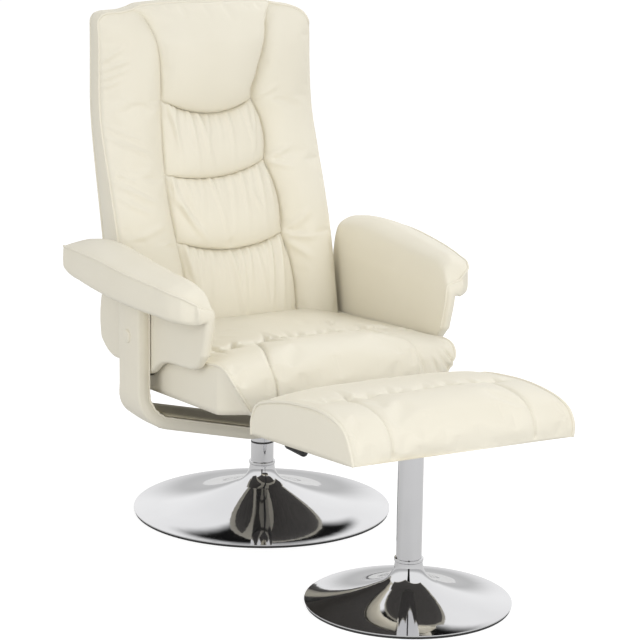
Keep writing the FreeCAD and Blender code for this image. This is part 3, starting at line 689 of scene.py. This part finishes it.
side_swell = 1.5
seam_swell = 3.0  # between the two side seams
cover_t = 1.2
cover_in = 0.03  # its edge inside the cushion's, as a share
seat_middle = ((0, 150, 386), (0, 60, 394), (0, -60, 404), (0, -150, 412), (0, -205, 417),
               (0, -255, 421), (0, -300, 421), (0, -335, 411), (0, -356, 388), (0, -362, 360),
               (0, -356, 333), (0, -343, 311))
seat_side = ((254, 146, 372), (255, 60, 376), (256, -60, 386), (256, -150, 392), (256, -215, 397),
             (256, -261, 401), (256, -300, 405), (255, -330, 400), (250, -348, 384), (238, -351, 362),
             (221, -347, 338), (203, -341, 311))
seat_steps = 16
seat_cols = 241
seat_power = 5.0  # how late the top falls towards its side edges
seat_plan = {
    "fold": 4.0,  # row of the gathered seam
    "start": 0.4,  # rows before it where the side seams begin
    "last": 11.0,  # last row
    "row": 60.0,  # millimetres to a row
    "held": 225,  # how far across the gathered seam is sewn down
    "loose": (215, 250),  # where the slack beside it ends
    "gathered": (200, 250),  # where its pleats end
    "cap": 9.0,  # most that the simulation moves the sheet
    "groove": 9.0,  # depth of the side seams
    "groove_w": 2.6,
    "far_groove": 0.3,  # share of that on the photograph's right
    "fold_deep": 3.5,
    "pleats": (34.0, 46.0, 12.0, 4),
}
seat_seam = 166.0
seat_flare = 42.0  # the side seams run inward towards the gathered one
seat_draw = 12.0  # and again below the front
seat_tuck = 50.0  # the side panels lean inward at the front
seat_foot = 255.0  # half width of the side panels at their foot
seat_low_rear = 277.0
seat_low_front = 309.0
# across, along to across, along, width, height
seat_strokes = (
    (99, -85, 80, -140, 6, -10.0), (114, -98, 80, -140, 6, -8.0), (70, -31, 41, -107, 14, -3.0),
    (-111, -51, -102, -73, 14, 3.0), (-131, -136, -157, -109, 10, 3.0), (150, -180, 190, -155, 12, 3.0),
    (-40, 30, 60, 60, 18, 2.5),
)
# across, up to across, up, width, height, on the front of the seat's right corner
seat_corner_strokes = (
    (163, 392, 176, 350, 5, -6.0), (194, 384, 208, 350, 5, -6.4), (211, 390, 237, 354, 5, -6.6),
    (228, 394, 245, 368, 4, -5.4), (180, 388, 192, 352, 6, 3.6), (222, 392, 240, 362, 5, 3.4),
)


def mirrored(points):
    return [(-x, y, z) for x, y, z in points]


def make_seat():
    sheet = cushion_sheet(mirrored(seat_side), seat_middle, seat_side, seat_steps, seat_cols, seat_power)
    row = np.arange(sheet.shape[0])[:, None] / seat_steps
    flare = seat_flare * (1 - step(row, seat_plan["fold"] - 0.5, 7.5))
    seam = seat_seam - flare - seat_draw * step(row, 6.0, 11.0)
    slack = np.exp(-((row - 8.0) / 1.2) ** 2) * step(sheet[..., 0], 165, 225)
    sheet, h = sewn_sheet(sheet, row, seam, seat_plan, slack)
    x, y, z = sheet[..., 0], sheet[..., 1], sheet[..., 2]
    h += folds(x, y, seat_strokes) * (row < 6) + folds(x, z, seat_corner_strokes) * (row > 6.5)
    sheet = lift(sheet, -h)  # rows run forward, so the grid's own normals point down
    lows = []
    for s in (-1, 1):
        edge = curve(seat_side, seat_steps)
        low = edge.copy()
        low[:, 2] = np.interp(-edge[:, 1], (-150, 330), (seat_low_rear, seat_low_front))
        low[:, 0] = s * np.minimum(edge[:, 0], seat_foot - seat_tuck * step(-edge[:, 1], 290, 335))
        low[-1] = edge[-1] * (s, 1, 1)
        lows.append(low)
    made = cushion_skin("seat_upholstery", sheet, lows[0], lows[1], "seat")
    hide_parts("seat_cushion")
    for side, edge in (("right", sheet[:, 0]), ("left", sheet[:, -1])):
        piping("seat_piping_" + side, even(edge, 160), piping_r, "seat")
    dust_cover("seat_dust_cover", lows, "seat", 2.0)


stool_x = -30.0
stool_middle = ((0, -455, 312), (0, -450, 340), (0, -458, 371), (0, -490, 390), (0, -545, 402),
                (0, -600, 409), (0, -655, 413), (0, -700, 420), (0, -745, 420), (0, -787, 411),
                (0, -814, 390), (0, -824, 364), (0, -822, 343))
stool_left = ((-236, -458, 311), (-237, -459, 338), (-238, -474, 366), (-238, -497, 381), (-238, -545, 395),
              (-238, -600, 407), (-238, -660, 415), (-238, -707, 419), (-238, -751, 417), (-238, -785, 410),
              (-238, -808, 397), (-237, -822, 374), (-235, -832, 346))
stool_right = ((236, -458, 311), (237, -459, 338), (238, -478, 370), (238, -510, 386), (238, -550, 394),
               (238, -600, 400), (238, -650, 404), (238, -703, 404), (238, -750, 400), (238, -782, 393),
               (238, -804, 381), (238, -816, 360), (237, -816, 337))
stool_steps = 16
stool_cols = 221
stool_power = 5.0
stool_plan = {
    "fold": 6.0,
    "start": 0.3,
    "last": 12.0,
    "row": 48.0,
    "held": 200,
    "loose": (190, 225),
    "gathered": (170, 220),
    "cap": 8.0,
    "groove": 6.0,
    "groove_w": 3.0,
    "far_groove": 1.0,
    "fold_deep": 4.0,
    "pleats": (34.0, 40.0, 10.0, 14),
}
stool_seam = 150.0
stool_piping_r = 3.3
# across, along to across, along, width, height
stool_strokes = (
    (-214, -628, -182, -640, 6, -5.0), (-182, -640, -150, -668, 5, -6.0), (-170, -660, -110, -640, 14, 3.0),
    (110, -650, 150, -668, 9, -2.4), (56, -672, 62, -690, 6, -4.0),
)


def make_stool():
    sheet = cushion_sheet(stool_left, stool_middle, stool_right, stool_steps, stool_cols, stool_power)
    row = np.arange(sheet.shape[0])[:, None] / stool_steps
    sheet, h = sewn_sheet(sheet, row, stool_seam, stool_plan, 0.0)
    h += folds(sheet[..., 0], sheet[..., 1], stool_strokes)
    sheet = lift(sheet, -h)  # rows run forward, so the grid's own normals point down
    lows = []
    for side in (stool_left, stool_right):
        low = curve(side, stool_steps)
        rear, nose = low[0], low[-1]
        share = np.clip((low[:, 1] - rear[1]) / (nose[1] - rear[1]), 0, 1)
        low[:, 2] = rear[2] + (nose[2] - rear[2]) * share
        lows.append(low + (stool_x, 0, 0))
    sheet = sheet + (stool_x, 0, 0)
    made = cushion_skin("stool_upholstery", sheet, lows[0], lows[1], "stool_top")
    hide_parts("stool_cushion")
    for side, edge in (("right", sheet[:, 0]), ("left", sheet[:, -1])):
        piping("stool_piping_" + side, even(edge, 160), stool_piping_r, "stool_top")
    dust_cover("stool_dust_cover", lows, "stool_top", 7.0)


# arms
arm_in = 262.0
arm_board_out = 282.0
arm_rear = 168.0
arm_front = -292.0
arm_close = -170.0  # its sections lie closer in front of this
arm_setback = 22.0  # board's front behind the roll's, at its foot
arm_spring = 502.0  # where the roll starts above the board
arm_tail = 27.0  # board's rear behind the roll's
arm_nose = 10.0  # bulge of the front end
arm_heel = 6.0  # bulge of the rear end
arm_lean = (395, 500)  # heights between which the board's front comes forward
arm_tail_z = (402, 88)  # middle of the tail, and half its height

# lines along an arm: distances forward, and the heights or widths there
arm_foot = ((-168, -150, -130, -98, 0, 46, 76, 200, 250, 280, 292),
            (356, 339, 332, 334, 334, 337, 358, 382, 388, 400, 414))
arm_crest = ((-168, -121, -57, 5, 66, 118, 172, 212, 250, 274, 292),
             (576, 584, 588, 584, 578, 574, 569, 567, 561, 548, 517))
arm_out = ((-168, 0, 70, 138, 200, 260, 280, 292), (374, 372, 368, 360, 348, 332, 318, 300))
arm_rim = ((-168, 0, 70, 138, 200, 260, 280, 292), (566, 566, 561, 556, 551, 543, 537, 527))
arm_under = ((-168, -158, -97, 0, 190, 280, 292), (511, 507, 500, 494, 488, 486, 487))
arm_steps = 9  # between two points of a section
arm_hem = 5.0  # rounding of the board's foot


def arm_section(y):
    """An arm cut across at y: its inner and outer lines, from the foot up to the piped rim, and its foot."""
    lines = (arm_foot, arm_crest, arm_out, arm_rim, arm_under)
    low, crest, out, rim, under = (smooth(-y, *line) for line in lines)
    wide = out - arm_in
    lip = out - arm_board_out
    mid = arm_in + 0.42 * wide
    rise = crest - arm_spring
    hem = low + arm_hem
    shares = (0, 0.3, 0.65, 1)
    board_in = curve([(arm_in, hem + (arm_spring - hem) * t) for t in shares], arm_steps)
    roll_in = curve(((arm_in, arm_spring), (arm_in + 0.04 * wide, arm_spring + 0.48 * rise),
                     (arm_in + 0.14 * wide, arm_spring + 0.82 * rise), (mid, crest),
                     (mid + 0.6 * (out - mid), crest + 0.39 * (rim - crest)), (out, rim)), arm_steps)
    board_out = curve([(arm_board_out, hem + (under + 2 - hem) * t) for t in shares], arm_steps)
    roll_out = curve(((arm_board_out, under + 2), (arm_board_out + 0.4 * lip, under + 2),
                      (arm_board_out + 0.72 * lip, under), (arm_board_out + 0.93 * lip, under + 5),
                      (arm_board_out + 1.02 * lip, under + 0.3 * (rim - under)), (out, rim)), arm_steps)
    foot = curve(((arm_in, hem), (arm_in + 3, low), ((arm_in + arm_board_out) / 2, low - 2),
                  (arm_board_out - 3, low), (arm_board_out, hem)), 2)
    return np.vstack([board_in[:-1], roll_in]), np.vstack([board_out[:-1], roll_out]), foot


def arm_place(s, line, y):
    """Outline placed at y; the board's front leans back a little, and its rear reaches further."""
    z = line[..., 1]
    middle, half = arm_tail_z
    back = arm_setback * step(-y, 200, -arm_front) * (1 - step(z, *arm_lean))
    back = back + arm_tail * step(y, 90, arm_rear) * np.clip(1 - ((z - middle) / half) ** 2, 0, 1)
    return np.stack([s * line[..., 0], y + back, z], -1)


def arm_end(s, y, bulge):
    """Rounded end of an arm, between its inner and its outer line."""
    inner, outer, foot = arm_section(y)
    turn = np.linspace(0, np.pi, len(foot))
    share = ((1 - np.cos(turn)) / 2)[:, None, None]
    end = inner[None] + (outer - inner)[None] * share
    end[:, 0] = foot
    half = np.linalg.norm(outer - inner, axis=1) / 2
    half[0] = 0
    end = arm_place(s, end, y)
    end[..., 1] += np.sign(bulge) * np.sin(turn)[:, None] * np.minimum(half, abs(bulge))[None]
    return end


def make_arm(s, name):
    spots = np.concatenate([np.linspace(arm_rear, arm_close, 48), np.linspace(arm_close, arm_front, 44)[1:]])
    sides = []
    rim = []
    for y in spots:
        inner, outer, foot = arm_section(y)
        sides.append(arm_place(s, np.vstack([inner, outer[-2::-1], foot[-2::-1]]), y))
        rim.append(sides[-1][len(inner) - 1])
    ends = [arm_end(s, arm_rear, arm_heel), arm_end(s, arm_front, -arm_nose)]
    made = skin("arm_upholstery_" + name, [np.array(sides)] + ends, leather, "cradle")
    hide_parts("arm_pad_" + name)
    inner = arm_place(s, arm_section(arm_front)[0], arm_front)
    path = np.vstack([rim, inner[-2::-1]])
    piping("arm_piping_" + name, rounded(even(path, 260), 3), piping_r, "cradle")


# cradle
cradle_half = 310.0
cradle_low = 174.0
cradle_top = 508.0
cradle_thick = 27.0
cradle_gap = 1.5  # between a post and the arm it carries
cradle_flat = 60.0
cradle_slope = math.radians(13.2)
cradle_bend = 74.0
cradle_ease = 160.0
cradle_rows = 460
cradle_edge_r = 6.0
cradle_piping_r = 1.8
face_crown = 2.0  # of the band's outer and inner faces
edge_crown = 1.5  # of its front and rear edges
post_y = -5.0
post_w = 96.0
band_w = 140.0
pucker_high = 0.8
pucker_pitch = 24.0
pucker_x = (215, 255)
pucker_z = (270, 320)
band_taper = (30, 130)  # heights above its lowest point where it narrows to a post
# sheets that paint the band's shade: an olive one on it under the seat, and dark ones below it
shade_sheet_t = 1.4
shade_sheet_proud = 3.2  # above the band, which is a little crowned
shade_sheet_edge = 8.0
shade_sheet_reach = 262.0
under_proud = 0.8  # painted shade: dark sheet below the band, seen in the chrome, which starts beside the hub
under_start = 28.0
under_edge = 22.0


def filleted(points, radii, turn_steps, line_steps):
    """Path of straight lines with a tangent arc at each inner corner."""
    path = [points[0]]
    for i in range(1, len(points) - 1):
        p, r = points[i], radii[i]
        a = (points[i - 1] - p) / np.linalg.norm(points[i - 1] - p)
        b = (points[i + 1] - p) / np.linalg.norm(points[i + 1] - p)
        half = math.acos(np.clip(np.dot(a, b), -1, 1)) / 2
        middle = (a + b) / np.linalg.norm(a + b)
        centre = p + middle * r / math.sin(half)
        start, end = p + a * r / math.tan(half), p + b * r / math.tan(half)
        path += [path[-1] + (start - path[-1]) * t for t in np.linspace(0, 1, line_steps + 1)[1:]]
        v0, v1 = start - centre, end - centre
        whole = math.pi - 2 * half
        for t in np.linspace(0, 1, turn_steps + 1)[1:]:
            arm = v0 * math.sin((1 - t) * whole) + v1 * math.sin(t * whole)
            path.append(centre + arm / math.sin(whole))
    path += [path[-1] + (points[-1] - path[-1]) * t for t in np.linspace(0, 1, line_steps + 1)[1:]]
    return np.array(path)


def puckers(outer):
    """Small tucks of the leather on the inner side of the band's two bends."""
    run = np.linspace(0, 1, len(outer)) * np.linalg.norm(np.diff(outer, axis=0), axis=1).sum()
    bent = step(np.abs(outer[:, 0]), *pucker_x) * (1 - step(outer[:, 1], *pucker_z))
    return pucker_high * bent * np.sin(2 * np.pi * run / pucker_pitch + 1.4 * np.sin(run / 11))


def band_path():
    """The band's outer face seen from the front, from one post's top round to the other's."""
    corner = cradle_low + (cradle_half - cradle_flat) * math.tan(cradle_slope)
    points = ((cradle_flat, cradle_low), (cradle_half, corner), (cradle_half, cradle_top))
    right = [np.array(p) for p in points]
    left = [p * (-1, 1) for p in reversed(right)]
    radii = (0, cradle_bend, cradle_ease, cradle_ease, cradle_bend, 0)
    return even(filleted(left + right, radii, 24, 12), cradle_rows)


def band_outline(t):
    """The band cut across: how far in from its outer face, which edge, and how far out from there."""
    r = cradle_edge_r
    bulge = [(k, edge_crown * math.sin(math.pi * k)) for k in (0.25, 0.5, 0.75)]
    crown = [(k, face_crown * math.sin(math.pi * k)) for k in np.linspace(0, 1, 11)[1:-1]]
    outline = []
    for quarter, (d, side) in enumerate(((t - r, 1), (r, 1), (r, 0), (t - r, 0))):
        for a in np.linspace(0, np.pi / 2, 5) + quarter * np.pi / 2:
            outline.append((d + r * math.cos(a), side, r * math.sin(a)))
        if quarter == 0:
            outline += [(t - r + (2 * r - t) * k, 1, r + out) for k, out in bulge]
        elif quarter == 1:
            outline += [(-out, 1 - k, 0) for k, out in crown]
        elif quarter == 2:
            outline += [(r + (t - 2 * r) * k, 0, -r - out) for k, out in bulge]
        else:
            outline += [(t + out, k, 0) for k, out in crown]
    return outline


def make_cradle():
    outer = band_path()
    along = np.gradient(outer, axis=0)
    along /= np.linalg.norm(along, axis=1, keepdims=True)
    inward = np.stack([-along[:, 1], along[:, 0]], -1)
    wide = 1 - step(outer[:, 1], *(cradle_low + rise for rise in band_taper))
    front = (post_y - post_w / 2) * (1 - wide) - band_w / 2 * wide
    rear = (post_y + post_w / 2) * (1 - wide) + band_w / 2 * wide
    r = cradle_edge_r
    t = cradle_thick - cradle_gap
    outline = band_outline(t)
    rings = []
    edge = []
    for p, n, y0, y1, tuck in zip(outer, inward, front, rear, puckers(outer)):
        for d, side, dy in outline:
            y = (y0 + r) + ((y1 - r) - (y0 + r)) * side + dy
            deep = d + tuck * d / t
            rings.append((p[0] + n[0] * deep, y, p[1] + n[1] * deep))
        edge.append((p[0] + n[0] * (t - 1 + tuck), y0 + 1, p[1] + n[1] * (t - 1 + tuck)))
    faces = capped(cradle_rows, len(outline))
    made = welded(piece("cradle_leather", rings, faces, leather, "cradle"))
    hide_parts("cradle_cover")
    piping("cradle_piping", np.array(edge), cradle_piping_r, "cradle")
    band = (outer, inward, front, rear)
    low = outer[:, 1] < cradle_top / 2
    across = outer[:, 0]
    # olive sheet on the band under the seat: painted shade
    painted_shade_strip("cradle_painted_shade", "painted_shade_sheet", band, t + shade_sheet_proud, shade_sheet_edge,
                 low & (np.abs(across) < shade_sheet_reach))
    # dark sheets below the band: painted shade, which the chrome below reflects
    for name, s in (("left", 1), ("right", -1)):
        bare = low & (s * across > under_start) & (s * across < shade_sheet_reach)
        painted_shade_strip("cradle_painted_shade_under_" + name, "webbing", band, -under_proud, under_edge, bare)


def painted_shade_strip(name, cloth, band, level, inset, kept):
    """Thin sheet of painted shade along part of the band, its upper side at a level above the band's outer
    face.
    """
    outer, inward, front, rear = band
    across = np.linspace(0, 1, 5)
    strips = []
    for height in (level, level - shade_sheet_t):
        p = outer + inward * height
        y = (front + inset)[:, None] + ((rear - front) - 2 * inset)[:, None] * across
        grid = np.stack([np.repeat(p[:, :1], 5, 1), y, np.repeat(p[:, 1:], 5, 1)], -1)
        strips.append(grid[kept])
    rim = np.array([border(grid) for grid in strips])
    skin(name, strips + [rim], finishes[cloth], "cradle")


# studio
photo_f = 2300.0  # focal length in pixels of the square photograph
photo_side = 640.0
camera_at = (-2.1904, -4.1110, 1.4800)
camera_pitch = 0.226013
camera_roll = -0.0135513
camera_right = (0.87036, -0.49242, 0.0)
sensor = 36.0


def make_camera():
    data = bpy.data.cameras.new("camera")
    data.sensor_width = sensor
    data.lens = sensor * photo_f / photo_side
    made = placed("camera", data)
    flat = np.array(camera_right)
    c, s = math.cos(camera_pitch), math.sin(camera_pitch)
    ahead = np.array((-c * flat[1], c * flat[0], -s))
    above = np.array((-s * flat[1], s * flat[0], c))
    cr, sr = math.cos(camera_roll), math.sin(camera_roll)
    right = cr * flat - sr * above
    up = sr * flat + cr * above
    turn = Matrix((right, up, -ahead)).transposed().to_4x4()
    made.matrix_world = Matrix.Translation(camera_at) @ turn
    scene.camera = made


# name, place, aim, size and power of each lamp; none of them shows in the chrome
lamps = (
    ("key", (1.4, -4.2, 2.4), (0, -0.2, 0.5), (2.6, 2.6), 68),
    ("low", (-1.5, -3.4, 0.4), (-0.1, -0.1, 0.25), (1.6, 0.6), 11),
    ("rim", (2.2, 1.2, 2.6), (0.1, 0, 0.6), (1.8, 1.8), 36),
    ("fill", (-3.4, -1.4, 1.7), (0, -0.3, 0.5), (2.6, 2.2), 36),
)


def make_lamps():
    for name, at, aim, size, power in lamps:
        data = bpy.data.lights.new(name, "AREA")
        data.shape = "RECTANGLE"
        data.size, data.size_y = size
        data.energy = power
        made = placed(name, data)
        way = np.array(aim) - np.array(at)
        z = -way / np.linalg.norm(way)
        x = np.cross((0, 0, 1), z)
        x /= np.linalg.norm(x)
        turn = Matrix((x, np.cross(z, x), z)).transposed().to_4x4()
        made.matrix_world = Matrix.Translation(at) @ turn
        made.visible_glossy = False


room_colour = (1.0, 0.995, 0.985, 1)
room_light = 0.65
dark_level = 0.012  # brightness of the room's unlit strip
dark_half = (0.075, 0.12)  # half width of the unlit strip overhead, from full depth to its border
dark_tilt = 0.45  # slope of the line above which the far end of the room is unlit
dark_fade = (-0.03, 0.04)
room_far = 0.80  # brightness of the room in reflections, low down and higher up
room_high = 1.45
room_rise = (0.10, 0.30)


def make_world():
    """White room; reflections also show its unlit strip overhead, in the camera's own upright plane."""
    world = bpy.data.worlds.new("studio")
    scene.world = world
    world.use_nodes = True
    nodes, links = world.node_tree.nodes, world.node_tree.links
    soft = nodes["Background"]
    soft.inputs["Color"].default_value = room_colour
    soft.inputs["Strength"].default_value = room_light
    seen = nodes.new("ShaderNodeBackground")
    seen.inputs["Color"].default_value = (1, 1, 1, 1)
    seen.inputs["Strength"].default_value = 1.0
    shiny = nodes.new("ShaderNodeBackground")
    away = np.array((-camera_right[1], camera_right[0], 0.0))
    strip = faded(nodes, links, along_way(nodes, links, camera_right, True), dark_half[1], dark_half[0])
    tilted = tuple(np.array((0, 0, 1)) - dark_tilt * away)
    above = faded(nodes, links, along_way(nodes, links, tilted), *dark_fade)
    dark = nodes.new("ShaderNodeMath")
    dark.operation = "MULTIPLY"
    links.new(strip, dark.inputs[0])
    links.new(above, dark.inputs[1])
    bright = faded(nodes, links, along_way(nodes, links, (0, 0, 1)), *room_rise, room_far, room_high)
    level = nodes.new("ShaderNodeMix")
    links.new(dark.outputs["Value"], level.inputs["Factor"])
    links.new(bright, level.inputs["A"])
    level.inputs["B"].default_value = dark_level
    links.new(level.outputs["Result"], shiny.inputs["Strength"])
    path = nodes.new("ShaderNodeLightPath")
    glossy = nodes.new("ShaderNodeMixShader")
    links.new(path.outputs["Is Glossy Ray"], glossy.inputs["Fac"])
    links.new(soft.outputs["Background"], glossy.inputs[1])
    links.new(shiny.outputs["Background"], glossy.inputs[2])
    mix = nodes.new("ShaderNodeMixShader")
    links.new(path.outputs["Is Camera Ray"], mix.inputs["Fac"])
    links.new(glossy.outputs["Shader"], mix.inputs[1])
    links.new(seen.outputs["Background"], mix.inputs[2])
    links.new(mix.outputs["Shader"], nodes["World Output"].inputs["Surface"])


def along_way(nodes, links, way, either=False):
    """How far a direction in the room points along a given way."""
    where = nodes.new("ShaderNodeTexCoord")
    made = nodes.new("ShaderNodeVectorMath")
    made.operation = "DOT_PRODUCT"
    made.inputs[1].default_value = way
    links.new(where.outputs["Generated"], made.inputs[0])
    if not either:
        return made.outputs["Value"]
    size = nodes.new("ShaderNodeMath")
    size.operation = "ABSOLUTE"
    links.new(made.outputs["Value"], size.inputs[0])
    return size.outputs["Value"]


def faded(nodes, links, value, start, end, low=0.0, high=1.0):
    """The same, level at both ends."""
    return between(nodes, links, value, low, high, start, end, "SMOOTHSTEP")


floor_pale = (0.42, 0.42, 0.42)
floor_dark = (0.40, 0.40, 0.40)
floor_rough = (0.88, 0.92)
floor_glow = 0.78  # brightness of its own, for the camera
floor_shine = 0.45  # in reflections
floor_fill = 0.22  # for all else
floor_far = 30.0


def make_floor():
    """Wide white floor, which lights the scene a little from below."""
    made, nodes, links, shader, _ = material("pale floor", 0.6, floor_dark, floor_pale, floor_rough, 2.0)
    shader.inputs["Specular IOR Level"].default_value = 0.0
    shader.inputs["Emission Color"].default_value = (1, 1, 1, 1)
    path = nodes.new("ShaderNodeLightPath")
    glossy = between(nodes, links, path.outputs["Is Glossy Ray"], floor_fill, floor_shine)
    glow = nodes.new("ShaderNodeMix")
    links.new(path.outputs["Is Camera Ray"], glow.inputs["Factor"])
    links.new(glossy, glow.inputs["A"])
    glow.inputs["B"].default_value = floor_glow
    links.new(glow.outputs["Result"], shader.inputs["Emission Strength"])
    mesh = bpy.data.meshes.new("floor")
    corners = [(x * floor_far, y * floor_far, 0) for x, y in ((-1, -1), (1, -1), (1, 1), (-1, 1))]
    mesh.from_pydata(corners, [], [(0, 1, 2, 3)])
    mesh.materials.append(made)
    floor = placed("floor", mesh)


dress_frame()
make_back()
make_seat()
make_stool()
make_arm(1, "left")
make_arm(-1, "right")
make_cradle()
make_camera()
make_world()
make_floor()
make_lamps()
scene.view_settings.view_transform = "Standard"
